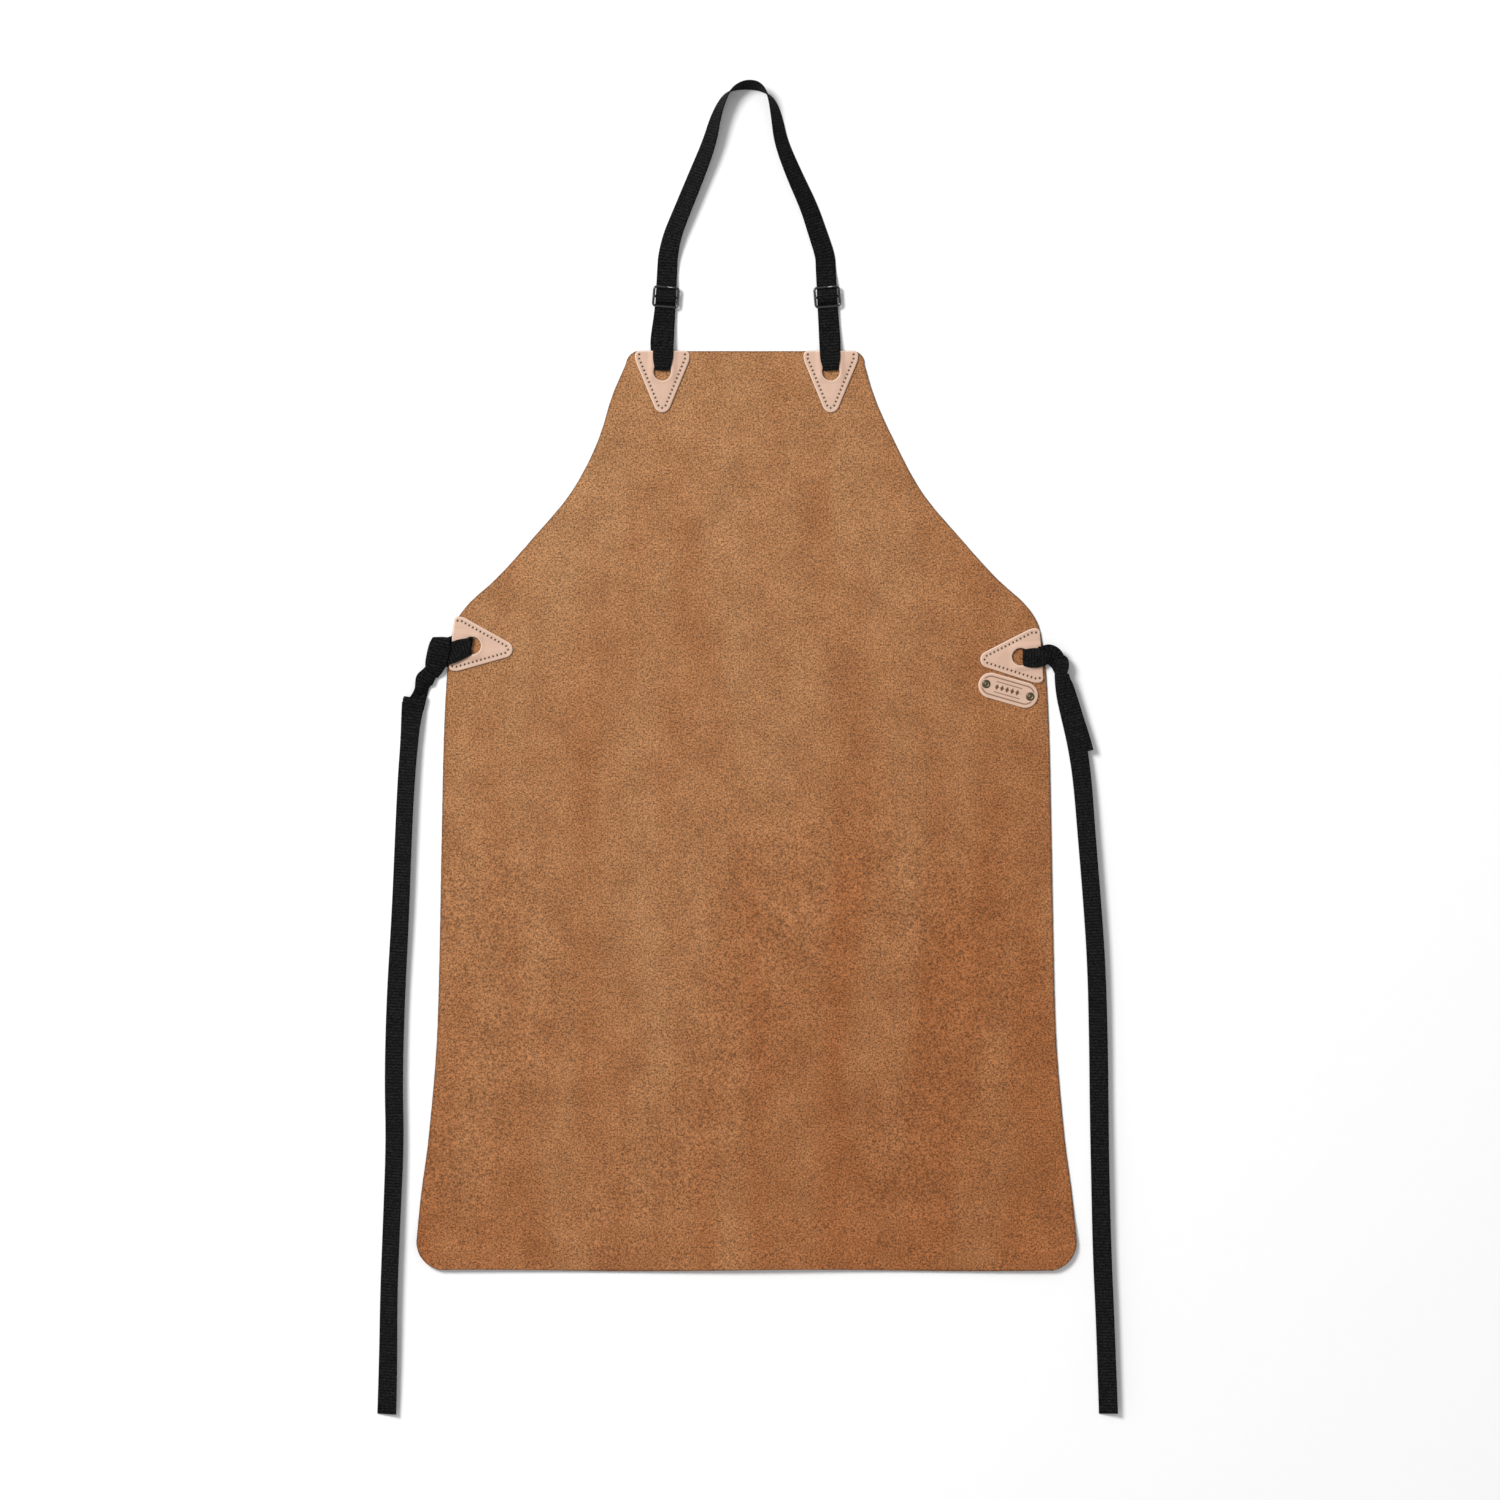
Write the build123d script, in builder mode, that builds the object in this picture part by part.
"""Welding apron of split leather, laid out flat with its neck strap and waist ties.

Frame: millimetres, +Z up. The panel lies on the plane z = 0 with its bib towards +Y,
its rough side up, and the middle of the panel's underside at the origin.
"""

from build123d import *
import math
import os

os.makedirs("parts", exist_ok=True)

# --- leather panel ---------------------------------------------------------
panel_length = 905.0          # top edge of the bib to the hem
panel_thick = 1.8             # split cowhide
bib_half = 117.5              # half the bib's width at its top corners
bib_corner = 13.0
waist_half = 289.0            # half the width at the waist corners
waist_drop = 275.0            # top edge down to the waist corners
hem_half = 325.0
hem_corner = 28.0
# Armhole and side seams as shares of the way (across, down) between their end corners.
armhole_curve = [(0.06, 0.15), (0.15, 0.30), (0.31, 0.495), (0.545, 0.673), (0.76, 0.82)]
armhole_end = (0.92, 0.912)
side_curve = [(0.15, 0.06), (0.31, 0.34), (0.42, 0.64), (0.67, 0.83), (0.89, 0.93)]

# --- webbing ---------------------------------------------------------------
web_width = 20.0
web_thick = 1.3
web_pinch = 15.6              # width of the webbing where it is squeezed through a hole
web_gap = 0.3                 # clearance between webbing that slides on webbing

# --- patches over the strap holes ------------------------------------------
patch_thick = 2.2
patch_half = 26.8             # half the width of the patch's open outer edge
patch_shoulder = 8.5          # straight length of each flank next to the outer edge
patch_tip = 73.3              # outer edge to the point where the two long sides would meet
patch_corner = 4.5
patch_shoulder_round = 18.0
patch_tip_round = 8.0
hole_radius = 8.6
hole_setback = 20.5           # outer edge of the patch to the middle of the hole
tunnel_gap = 0.3              # clearance round the webbing in the tunnel, each side
tunnel_wall = 1.4             # leather each side of the webbing where the patch bulges

bib_hole_x = 83.0
waist_hole_inset = 19.0       # hole to the line of the waist corner, across the panel
waist_hole_drop = {"left": 290.0, "right": 301.0}
waist_patch_turn = {"left": 173.3, "right": 4.6}

# --- stitching -------------------------------------------------------------
thread_width = 0.9
thread_depth = 0.45
groove_gap = 0.1              # clearance each side of a thread in its groove
needle_radius = 0.5           # diamond-shaped awl holes, measured to their points
post_radius = 0.4             # thread in those holes
stitch_inset = 4.3
stitch_start = 3.5            # outer edge to the first needle hole
stitch_count = 29

# --- label tag and its rivets ----------------------------------------------
tag_length = 60.0
tag_width = 25.0
tag_thick = 2.0
tag_turn = -16.0
tag_inset = 31.4              # tag centre to the line of the waist corner
tag_drop = 334.0              # tag centre below the top edge
rivet_spacing = 45.0
rivet_cap_radius = 4.25
rivet_cap_height = 1.3
rivet_post_radius = 1.6
rivet_back_radius = 3.9
rivet_back_thick = 0.6
tag_border_inset = 3.2
tag_border_depth = 0.3
tag_border_width = 0.8

# --- slide buckles ---------------------------------------------------------
leg_lean = 2.8                # each leg of the neck strap leans in towards the top
wire_radius = 1.2
slider_room = 4.1             # play of the webbing between the two sides of the frame
slider_height = 21.5
slider_corner = 4.0
slider_at = 73.7              # strap hole to the slider's middle bar, along the leg
slider_up = 28.0              # travel towards the neck
slider_down = 25.0            # travel towards the patch
butt_gap = 0.35               # open joint of the bent wire
fit_gap = 0.05
end_tab = 18.0                # sewn overlap of the strap's end, from the middle bar
tack_rows = (12.4, 14.2, 16.0)
tack_depth = 0.25
weave_end = 3.6               # webbing past the middle of the top bar
weave_bends = [1.4, 1.4, 1.2, 0.9]

# --- how the straps lie ----------------------------------------------------
ramp_start = 2.0              # level stretch of a leg past the panel's edge
leg_lap = 1.0                 # lower leg still under the sewn tab with the slider fully up
leg_join = 5.0                # straight overlap of a leg and the flat webbing beyond it
bend_share = 0.45             # most of a run that the bend at one end of it may take
leg_straight = 114.2          # straight part of each leg, from its hole
stand_height = 20.0           # the neck loop's top stands on the edge of the webbing

# Neck loop beyond the straight legs, from left to right, as (x, height above the bib).
flat_left_route = [(-73.2, 113.5), (-64.0, 136.5), (-50.0, 170.5), (-36.5, 204.5)]
stand_route = [(-30.0, 231.5), (-20.0, 253.5), (-3.0, 264.0), (15.0, 262.0), (26.0, 247.5),
               (30.0, 228.5)]
flat_right_route = [(34.0, 204.5), (47.5, 171.5), (61.5, 141.5), (70.5, 114.5)]
twist_tilts = (0.0, 28.0, 60.0, 90.0)

# Waist ties from their knots to their cut ends, as (out, down) from the strap hole. What
# the panel's side has flared out by at that height is added to the way out.
tie_left_route = [(37.5, 25), (43.9, 42), (52.3, 60), (54.2, 90), (55.8, 132), (56.7, 195),
                  (57.8, 262), (60.8, 350), (57.7, 430), (51.6, 487), (45.5, 560), (46.2, 640),
                  (46.6, 700), (48.1, 756.5)]
tie_right_route = [(32.4, 17), (35.3, 33), (41, 56), (47.1, 84), (51.3, 120), (53.8, 180),
                   (57.5, 240), (60.6, 305), (59.4, 385), (55.1, 445), (49.1, 510), (44, 590),
                   (47.5, 665), (50.2, 745)]
tail_right_route = [(35.1, 24), (39.4, 45), (45.6, 68), (52.3, 92)]
knot_reach = 19.5             # strap hole to the face of the knot, less the same flare
knot_height = 9.0
knot_round = 2.6
# Knot outlines past that face: (out along the patch's axis, across it), less it as well.
knot_outline = {
    "left": [(32.5, 12), (38.5, 6), (40.5, -10), (46.5, -22), (28.5, -34), (19.5, -24)],
    "right": [(28.5, -11), (36.5, -8), (38.5, 6), (36.5, 20), (26.5, 18), (19.5, 12)],
}

# --- levels worked out from the sizes above --------------------------------
top_y = panel_length / 2
hem_y = -panel_length / 2
waist_y = top_y - waist_drop
web_over_panel = panel_thick + web_thick
tunnel_top = web_over_panel + fit_gap
patch_top = panel_thick + patch_thick
hump_top = tunnel_top + patch_thick
lower_leg_z = web_thick + web_gap
tab_z = lower_leg_z + web_thick + web_gap
wire_z = tab_z + web_thick + fit_gap + wire_radius
sleeve_radius = wire_radius + fit_gap + web_thick
bar_offset = slider_height / 2 - wire_radius
slider_width = web_width + slider_room + 2 * wire_radius


def between(start, end, share):
    """Point that lies the two given shares of the way from start to end."""
    return (start[0] + (end[0] - start[0]) * share[0], start[1] + (end[1] - start[1]) * share[1])


def seat_plane(x, y, outward):
    """Plane at a strap hole, with its y axis pointing out of the panel at that angle."""
    turn = math.radians(outward)
    return Plane(origin=(x, y, 0), x_dir=(math.sin(turn), -math.cos(turn), 0), z_dir=(0, 0, 1))


def side_plane(seat, across=0.0):
    """Upright plane through a seat: x runs outward and y runs up."""
    origin = seat.origin + seat.x_dir * across
    return Plane(origin=origin, x_dir=seat.y_dir, z_dir=seat.y_dir.cross(seat.z_dir))


def above_bib(route):
    """Route points moved up from the bib's top edge to where they are in the frame."""
    return [(x, top_y + up) for x, up in route]


def flare_at(y):
    """How far the panel's side has spread out past the waist corner at a height."""
    down = min(max((waist_y - y) / (waist_y - hem_y - hem_corner), 0), 1)
    steps = [(0, 0)] + side_curve + [(1, 1)]
    for (near, above), (far, below) in zip(steps, steps[1:]):
        if down <= below:
            share = near + (far - near) * (down - above) / (below - above)
            return share * (hem_half - waist_half)


def beside_panel(seat, route):
    """Route points given as (out, down) from a waist hole, kept clear of the panel's side."""
    outward = math.copysign(1, seat.origin.X)
    heights = [seat.origin.Y - down for _, down in route]
    spread = [out + flare_at(y) for (out, _), y in zip(route, heights)]
    return [(seat.origin.X + outward * out, y) for out, y in zip(spread, heights)]


def route_radii(points):
    """Largest bend radius that the two runs at each inner point of a route allow."""
    radii = []
    for before, here, after in zip(points, points[1:], points[2:]):
        run_in = Vector(*here) - Vector(*before)
        run_out = Vector(*after) - Vector(*here)
        turn = math.radians(run_in.get_angle(run_out))
        radii.append(bend_share * min(run_in.length, run_out.length) / math.tan(turn / 2))
    return radii


def finish(piece, name):
    """Label a finished piece and write it."""
    piece.part.label = name
    export_step(piece.part, f"parts/{name}.step")


# --- panel outline ----------------------------------------------------------
bib_side = (bib_half, top_y)
waist_side = (waist_half, waist_y)
hem_side = (hem_half, hem_y + hem_corner)
with BuildSketch() as panel_outline:
    with BuildLine():
        top_edge = Line((0, top_y), (bib_half - bib_corner, top_y))
        bib_round = TangentArc(top_edge @ 1, (bib_half, top_y - bib_corner), tangent=(1, 0))
        armhole = Spline(
            bib_round @ 1,
            *[between(bib_side, waist_side, share) for share in armhole_curve],
            between(bib_side, waist_side, armhole_end),
        )
        waist_round = TangentArc(armhole @ 1, waist_side, tangent=armhole % 1)
        side = Spline(
            waist_round @ 1,
            *[between(waist_side, hem_side, share) for share in side_curve],
            hem_side,
        )
        hem_round = TangentArc(side @ 1, (hem_half - hem_corner, hem_y), tangent=(0, -1))
        hem = Line(hem_round @ 1, (0, hem_y))
        mirror(about=Plane.YZ)
    make_face()
panel_column = extrude(panel_outline.sketch, amount=2 * hump_top, mode=Mode.PRIVATE)

# --- seats: where each strap passes through its patch ----------------------
bib_hole_y = top_y - hole_setback
seats = {
    "bib_left": seat_plane(-bib_hole_x, bib_hole_y, 90),
    "bib_right": seat_plane(bib_hole_x, bib_hole_y, 90),
    "waist_left": seat_plane(
        waist_hole_inset - waist_half, top_y - waist_hole_drop["left"], waist_patch_turn["left"]
    ),
    "waist_right": seat_plane(
        waist_half - waist_hole_inset, top_y - waist_hole_drop["right"], waist_patch_turn["right"]
    ),
}
legs = {
    "left": seat_plane(-bib_hole_x, bib_hole_y, 90 - leg_lean),
    "right": seat_plane(bib_hole_x, bib_hole_y, 90 + leg_lean),
}
tunnels = {
    "bib_left": legs["left"],
    "bib_right": legs["right"],
    "waist_left": seats["waist_left"],
    "waist_right": seats["waist_right"],
}

# --- stitch line, in a seat's own coordinates ------------------------------
tip_y = hole_setback - patch_tip
shoulder_y = hole_setback - patch_shoulder
half_tip = math.atan2(patch_half, shoulder_y - tip_y)
stitch_x = patch_half - stitch_inset
stitch_tip_y = tip_y + stitch_inset / math.sin(half_tip)
stitch_shoulder_y = stitch_tip_y + stitch_x / math.tan(half_tip)
tip_round = patch_tip_round - stitch_inset
tip_run = tip_round / math.tan(half_tip)
tip_side = (tip_run * math.sin(half_tip), stitch_tip_y + tip_run * math.cos(half_tip))
tip_middle = (0, stitch_tip_y + tip_round / math.sin(half_tip) - tip_round)
stitch_right = [
    tip_side,
    (stitch_x, stitch_shoulder_y),
    (stitch_x, hole_setback - stitch_start),
]
stitch_left = [(-x, y) for x, y in stitch_right[::-1]]
stitch_line = Polyline(*stitch_left, tip_middle, *stitch_right, mode=Mode.PRIVATE)
needle_points = stitch_line.positions([i / (stitch_count - 1) for i in range(stitch_count)])
groove_width = thread_width + 2 * groove_gap

# Outline of a patch: open edge outward, two flanks, two long sides and a round tip.
with BuildSketch() as patch_outline:
    with BuildLine():
        FilletPolyline(
            (-patch_half, hole_setback),
            (-patch_half, shoulder_y),
            (0, tip_y),
            (patch_half, shoulder_y),
            (patch_half, hole_setback),
            radius=[
                patch_corner,
                patch_shoulder_round,
                patch_tip_round,
                patch_shoulder_round,
                patch_corner,
            ],
            close=True,
        )
    make_face()

# --- leather panel ---------------------------------------------------------
tag_plane = Plane(
    origin=(waist_half - tag_inset, top_y - tag_drop, 0),
    x_dir=(math.cos(math.radians(tag_turn)), math.sin(math.radians(tag_turn)), 0),
    z_dir=(0, 0, 1),
)
with BuildPart() as apron_body:
    add(extrude(panel_outline.sketch, amount=panel_thick, mode=Mode.PRIVATE))
    for seat in seats.values():
        with BuildSketch(seat):
            with Locations(*needle_points):
                RegularPolygon(needle_radius, side_count=4)
        extrude(amount=panel_thick, mode=Mode.SUBTRACT)
        with BuildSketch(seat):
            trace(stitch_line, line_width=groove_width)
        extrude(amount=thread_depth, mode=Mode.SUBTRACT)
    with BuildSketch(tag_plane):
        with GridLocations(rivet_spacing, 0, 2, 1):
            Circle(rivet_post_radius)
    extrude(amount=panel_thick, mode=Mode.SUBTRACT)
    with BuildSketch(tag_plane):
        with GridLocations(rivet_spacing, 0, 2, 1):
            Circle(rivet_back_radius)
    extrude(amount=rivet_back_thick, mode=Mode.SUBTRACT)
finish(apron_body, "apron_body")

# --- patches and their stitching -------------------------------------------
hump_half = web_width / 2 + tunnel_gap + tunnel_wall
hump_end = hole_radius + tunnel_wall
tunnel_mouth = hole_setback + ramp_start
for name, seat in seats.items():
    tunnel = tunnels[name]
    with BuildPart() as patch:
        with BuildSketch(seat.offset(panel_thick)):
            add(patch_outline.sketch)
        extrude(amount=patch_thick)
        with BuildSketch(tunnel.offset(panel_thick)):
            with Locations((0, (tunnel_mouth - hump_end) / 2)):
                Rectangle(2 * hump_half, tunnel_mouth + hump_end)
        extrude(amount=hump_top - panel_thick)
        with BuildSketch(seat.offset(panel_thick)):
            add(patch_outline.sketch)
        extrude(amount=hump_top, mode=Mode.INTERSECT)
        with BuildSketch(tunnel.offset(panel_thick)):
            with Locations((0, (tunnel_mouth - tunnel_gap) / 2)):
                Rectangle(web_width + 2 * tunnel_gap, tunnel_mouth + tunnel_gap)
        extrude(amount=tunnel_top - panel_thick, mode=Mode.SUBTRACT)
        with BuildSketch(seat.offset(panel_thick)):
            Circle(hole_radius)
        extrude(amount=hump_top, mode=Mode.SUBTRACT)
        with BuildSketch(seat.offset(patch_top - thread_depth)):
            trace(stitch_line, line_width=groove_width)
        extrude(amount=thread_depth, mode=Mode.SUBTRACT)
        with BuildSketch(seat.offset(panel_thick)):
            with Locations(*needle_points):
                RegularPolygon(needle_radius, side_count=4)
        extrude(amount=patch_thick, mode=Mode.SUBTRACT)
        add(panel_column, mode=Mode.INTERSECT)
    finish(patch, f"patch_{name}")

    with BuildPart() as needle_thread:
        with BuildSketch(seat.offset(patch_top - thread_depth)):
            trace(stitch_line, line_width=thread_width)
        extrude(amount=thread_depth)
        with BuildSketch(seat.offset(thread_depth)):
            with Locations(*needle_points):
                RegularPolygon(post_radius, side_count=4)
        extrude(amount=patch_top - 2 * thread_depth)
    finish(needle_thread, f"needle_thread_{name}")

    with BuildPart() as bobbin_thread:
        with BuildSketch(seat):
            trace(stitch_line, line_width=thread_width)
        extrude(amount=thread_depth)
    finish(bobbin_thread, f"bobbin_thread_{name}")

# --- label tag and rivets --------------------------------------------------
with BuildPart() as label_tag:
    with BuildSketch(tag_plane.offset(panel_thick)):
        SlotOverall(tag_length, tag_width)
        with GridLocations(rivet_spacing, 0, 2, 1):
            Circle(rivet_post_radius, mode=Mode.SUBTRACT)
    extrude(amount=tag_thick)
    with BuildSketch(tag_plane.offset(panel_thick + tag_thick - tag_border_depth)):
        SlotOverall(tag_length - 2 * tag_border_inset, tag_width - 2 * tag_border_inset)
        SlotOverall(
            tag_length - 2 * tag_border_inset - 2 * tag_border_width,
            tag_width - 2 * tag_border_inset - 2 * tag_border_width,
            mode=Mode.SUBTRACT,
        )
        with GridLocations(rivet_spacing, 0, 2, 1):
            Circle(rivet_cap_radius, mode=Mode.SUBTRACT)
    extrude(amount=tag_border_depth, mode=Mode.SUBTRACT)
finish(label_tag, "label_tag")

rivet_side = Plane(
    origin=tag_plane.origin, x_dir=tag_plane.x_dir, z_dir=-tag_plane.y_dir
)
cap_base = panel_thick + tag_thick
cap_arc_height = cap_base + rivet_cap_height
with BuildPart() as label_rivets:
    for side_sign in (-1, 1):
        middle = side_sign * rivet_spacing / 2
        with BuildSketch(rivet_side):
            with BuildLine():
                Polyline(
                    (middle, cap_arc_height),
                    (middle, rivet_back_thick),
                    (middle + rivet_post_radius, rivet_back_thick),
                    (middle + rivet_post_radius, cap_base),
                    (middle + rivet_cap_radius, cap_base),
                    (middle + rivet_cap_radius, cap_base + rivet_cap_height / 2),
                )
                TangentArc(
                    (middle, cap_arc_height),
                    (middle + rivet_cap_radius, cap_base + rivet_cap_height / 2),
                    tangent=(1, 0),
                )
            make_face()
        post_axis = Axis(rivet_side.from_local_coords(Vector(middle, 0, 0)), (0, 0, 1))
        revolve(axis=post_axis)
finish(label_rivets, "label_rivets")

with BuildPart() as label_rivet_backs:
    with BuildSketch(tag_plane):
        with GridLocations(rivet_spacing, 0, 2, 1):
            Circle(rivet_back_radius)
    extrude(amount=rivet_back_thick)
finish(label_rivet_backs, "label_rivet_backs")

# --- slide buckles, each with the webbing that travels with it -------------
for side_name, leg in legs.items():
    bar_plane = Plane(
        origin=leg.origin + leg.y_dir * slider_at + Vector(0, 0, wire_z),
        x_dir=leg.x_dir,
        z_dir=leg.z_dir,
    )
    with BuildPart() as slider_frame:
        with BuildLine(bar_plane):
            ring = FilletPolyline(
                (-slider_width / 2 + wire_radius, -bar_offset),
                (slider_width / 2 - wire_radius, -bar_offset),
                (slider_width / 2 - wire_radius, bar_offset),
                (-slider_width / 2 + wire_radius, bar_offset),
                radius=slider_corner - wire_radius,
                close=True,
            )
        with BuildSketch(Plane(origin=ring @ 0, z_dir=ring % 0)):
            Circle(wire_radius)
        sweep()
        with BuildSketch(bar_plane.offset(-wire_radius)):
            with Locations((0, bar_offset)):
                Rectangle(butt_gap, 2 * sleeve_radius)
        extrude(amount=2 * wire_radius, mode=Mode.SUBTRACT)
    finish(slider_frame, f"slider_{side_name}_frame")

    across = Plane(origin=bar_plane.origin, z_dir=leg.x_dir)
    with BuildPart() as slider_bar:
        with BuildSketch(across):
            Circle(wire_radius)
        extrude(amount=slider_width / 2 - wire_radius, both=True)
        add(slider_frame.part, mode=Mode.SUBTRACT)
    finish(slider_bar, f"slider_{side_name}_bar")

    upright = Plane(
        origin=leg.origin + leg.y_dir * slider_at,
        x_dir=leg.y_dir,
        z_dir=leg.y_dir.cross(leg.z_dir),
    )
    with BuildPart() as strap_end:
        with BuildSketch(upright):
            with Locations((0, wire_z)):
                Circle(sleeve_radius)
            with Locations((-end_tab / 2, tab_z + web_thick / 2)):
                Rectangle(end_tab, web_thick)
            with Locations((0, wire_z)):
                Circle(wire_radius + fit_gap, mode=Mode.SUBTRACT)
        extrude(amount=web_width / 2, both=True)
        with BuildSketch(upright):
            with Locations(*[(-row, tab_z + web_thick - tack_depth / 2) for row in tack_rows]):
                Rectangle(thread_width, tack_depth)
        extrude(amount=web_width / 2, both=True, mode=Mode.SUBTRACT)
    finish(strap_end, f"neck_strap_{side_name}_end")

    with BuildPart() as tack:
        with BuildSketch(upright):
            with Locations(*[(-row, tab_z + web_thick - tack_depth / 2) for row in tack_rows]):
                Rectangle(thread_width, tack_depth)
        extrude(amount=web_width / 2, both=True)
    finish(tack, f"end_stitching_{side_name}")

    over_z = wire_z + sleeve_radius + fit_gap + web_thick / 2
    rest_z = tab_z + web_thick + fit_gap + web_thick / 2
    inner_edge = bar_offset - wire_radius
    with BuildPart() as weave:
        with BuildSketch(upright):
            with BuildLine():
                FilletPolyline(
                    (bar_offset + weave_end, tab_z + web_thick / 2),
                    (inner_edge - web_thick, tab_z + web_thick / 2),
                    (sleeve_radius + web_thick / 2, over_z),
                    (-sleeve_radius - web_thick / 2, over_z),
                    (-inner_edge + 2 * web_thick, rest_z),
                    (-inner_edge + web_gap, rest_z),
                    radius=weave_bends,
                )
            trace(line_width=web_thick)
        extrude(amount=web_width / 2, both=True)
    finish(weave, f"neck_strap_{side_name}_weave")


# --- straps -----------------------------------------------------------------
upper_z = hump_top + fit_gap          # underside of webbing that lies over a patch


def flat_band(points, level=0.0):
    """Webbing laid flat at a level along a route, its bends as wide as the runs allow."""
    with BuildPart() as band:
        with BuildSketch(Plane.XY.offset(level)):
            with BuildLine():
                FilletPolyline(*points, radius=route_radii(points))
            trace(line_width=web_width)
        extrude(amount=web_thick)
    return band.part


def turn_through_hole(seat):
    """Squeezed webbing that stands in the hole, from the panel to above the patch."""
    with BuildPart() as turn:
        with BuildSketch(seat.offset(panel_thick)):
            with Locations((0, web_thick / 2)):
                Rectangle(web_pinch, web_thick)
        extrude(amount=upper_z + web_thick - panel_thick)
    return turn.part


def side_band(seat, points):
    """Webbing that only bends up and down, drawn from the side as (outward, up) points."""
    with BuildPart() as band:
        with BuildSketch(side_plane(seat)):
            with BuildLine():
                FilletPolyline(*points, radius=2 * web_thick)
            trace(line_width=web_thick)
        extrude(amount=web_width / 2, both=True)
    return band.part


def leg_point(leg, along):
    """Point on the floor a given way up a leg, as (x, y)."""
    place = leg.origin + leg.y_dir * along
    return (place.X, place.Y)


# Neck strap: one webbing from the left slider round the neck to the right slider.
half_web = web_thick / 2
ramp_from = hole_setback + ramp_start
ramp_to = slider_at - slider_down - end_tab - web_gap
lower_leg_end = slider_at + slider_up - end_tab + leg_lap
neck_flat_left = above_bib(flat_left_route)
neck_stand = above_bib(stand_route)
neck_flat_right = above_bib(flat_right_route)
path_left = [leg_point(legs["left"], ramp_to + leg_join)]
path_left += [leg_point(legs["left"], leg_straight)] + neck_flat_left
path_right = [leg_point(legs["right"], ramp_to + leg_join)]
path_right += [leg_point(legs["right"], leg_straight)] + neck_flat_right[::-1]
neck_pieces = []
for leg, path in ((legs["left"], path_left), (legs["right"], path_right)):
    back_layer = [
        (0, panel_thick + half_web),
        (ramp_from, panel_thick + half_web),
        (ramp_to, half_web),
        (ramp_to + leg_join, half_web),
    ]
    front_leg = [
        (0, upper_z + half_web),
        (ramp_from, upper_z + half_web),
        (ramp_to, lower_leg_z + half_web),
        (lower_leg_end, lower_leg_z + half_web),
    ]
    neck_pieces += [turn_through_hole(leg), side_band(leg, back_layer), side_band(leg, front_leg)]
    neck_pieces.append(flat_band(path))
stand_path = FilletPolyline(*neck_stand, radius=route_radii(neck_stand), mode=Mode.PRIVATE)
with BuildPart() as neck_strap:
    add(neck_pieces)
    with BuildSketch():
        trace(stand_path, line_width=web_thick)
    extrude(amount=stand_height)
    for flat_end, before, stand_end, heading in (
        (neck_flat_left[-1], neck_flat_left[-2], stand_path @ 0, stand_path % 0),
        (neck_flat_right[0], neck_flat_right[1], stand_path @ 1, -(stand_path % 1)),
    ):
        start = Vector(*flat_end)
        first = (start - Vector(*before)).normalized()
        for step, tilt in enumerate(twist_tilts):
            share = step / (len(twist_tilts) - 1)
            tangent = (first * (1 - share) + heading * share).normalized()
            lift = math.sin(math.radians(tilt)) * web_width / 2
            lift += math.cos(math.radians(tilt)) * half_web
            place = start + (stand_end - start) * share + Vector(0, 0, lift)
            side_way = Vector(0, 0, 1).cross(tangent)
            tilted = side_way * math.cos(math.radians(tilt))
            tilted += Vector(0, 0, 1) * math.sin(math.radians(tilt))
            with BuildSketch(Plane(origin=place, x_dir=tilted, z_dir=tangent)):
                Rectangle(web_width, web_thick)
        loft(ruled=True)
finish(neck_strap, "neck_strap")
for points in (path_left, neck_stand, path_right):
    print("neck strap: bend radii", [round(radius) for radius in route_radii(points)])
neck_run = 2 * (lower_leg_end + ramp_to + leg_join + upper_z + web_thick - panel_thick)
neck_run += stand_path.length
for path in (path_left, path_right):
    neck_run += FilletPolyline(*path, radius=route_radii(path), mode=Mode.PRIVATE).length
neck_run += (Vector(*neck_flat_left[-1]) - stand_path @ 0).length
neck_run += (Vector(*neck_flat_right[0]) - stand_path @ 1).length
print(f"  length {neck_run:.1f}, volume over section", end=" ")
print(f"{neck_strap.part.volume / (web_width * web_thick):.1f}")

# Waist ties: the tie down to its cut end, the turn through the patch, and the knot.
for side_name, route in (("left", tie_left_route), ("right", tie_right_route)):
    seat = seats[f"waist_{side_name}"]
    points = beside_panel(seat, route)
    radii = route_radii(points)
    tie_path = FilletPolyline(*points, radius=radii, mode=Mode.PRIVATE)
    band = flat_band(points)
    in_knot = [band]
    with BuildPart() as tie:
        add(band)
    finish(tie, f"waist_tie_{side_name}")
    print(f"waist tie {side_name}: bend radii", [round(radius) for radius in radii])
    print(f"  length {tie_path.length:.1f}, volume over section", end=" ")
    print(f"{tie.part.volume / (web_width * web_thick):.1f}")

    if side_name == "right":
        tail_band = flat_band(beside_panel(seat, tail_right_route), web_thick)
        in_knot.append(tail_band)
        with BuildPart() as tail:
            add(tail_band)
        finish(tail, f"waist_tie_{side_name}_tail")

    knot_face = knot_reach + flare_at(seat.origin.Y - web_width)
    turn = turn_through_hole(seat)
    with BuildPart() as tie_loop:
        add(turn)
        for level in (panel_thick, upper_z):
            with BuildSketch(seat.offset(level)):
                with Locations((0, knot_face / 2)):
                    Rectangle(web_width, knot_face)
            extrude(amount=web_thick)
    finish(tie_loop, f"waist_tie_{side_name}_loop")

    with BuildPart() as knot:
        with BuildSketch(seat):
            with Locations((0, knot_face - knot_reach)):
                Polygon(
                    (-web_width / 2, knot_reach),
                    *[(across, out) for out, across in knot_outline[side_name]],
                    align=None,
                )
        extrude(amount=knot_height)
        fillet(knot.faces().sort_by(Axis.Z)[-1].edges(), knot_round)
        add(in_knot, mode=Mode.SUBTRACT)
    finish(knot, f"waist_tie_{side_name}_knot")
